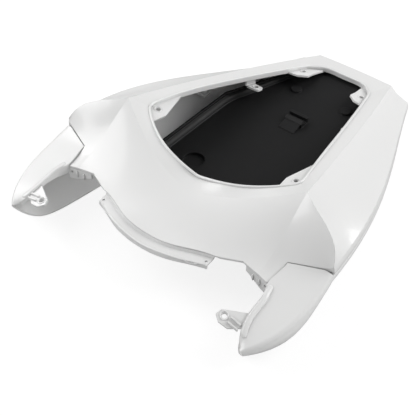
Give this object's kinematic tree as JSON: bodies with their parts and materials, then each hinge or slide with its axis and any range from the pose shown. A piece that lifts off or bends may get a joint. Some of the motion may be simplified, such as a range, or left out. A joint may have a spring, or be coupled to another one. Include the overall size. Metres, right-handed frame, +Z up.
{
  "type": "motorcycle tail fairing",
  "caption": "Motorcycle tail fairing with a raised rim around the pillion seat opening, a sloping back rest face, forward-reaching side wings and a black undertray below the opening.",
  "frame": {"origin": "on the floor, in the middle of the outline's box; the part rests on the bottom flanges of its side panels", "axes": "+Z up, -Y to the front of the bike, +X to the bike's left side; the two halves mirror each other across X = 0"},
  "size_m": [0.3932, 0.4758, 0.106],
  "materials": {
    "gloss_white": "gloss",
    "textured_black": "fine grain",
    "screw_steel": "zinc plated",
    "rivet_black": "matte"
  },
  "bodies": {
    "root": {"tail_cowl": "gloss_white", "left_side_panel": "gloss_white", "right_side_panel": "gloss_white", "undertray": "textured_black", "left_panel_screws": "screw_steel", "right_panel_screws": "screw_steel", "left_tray_rivets": "rivet_black", "right_tray_rivets": "rivet_black"}
  },
  "joints": []
}
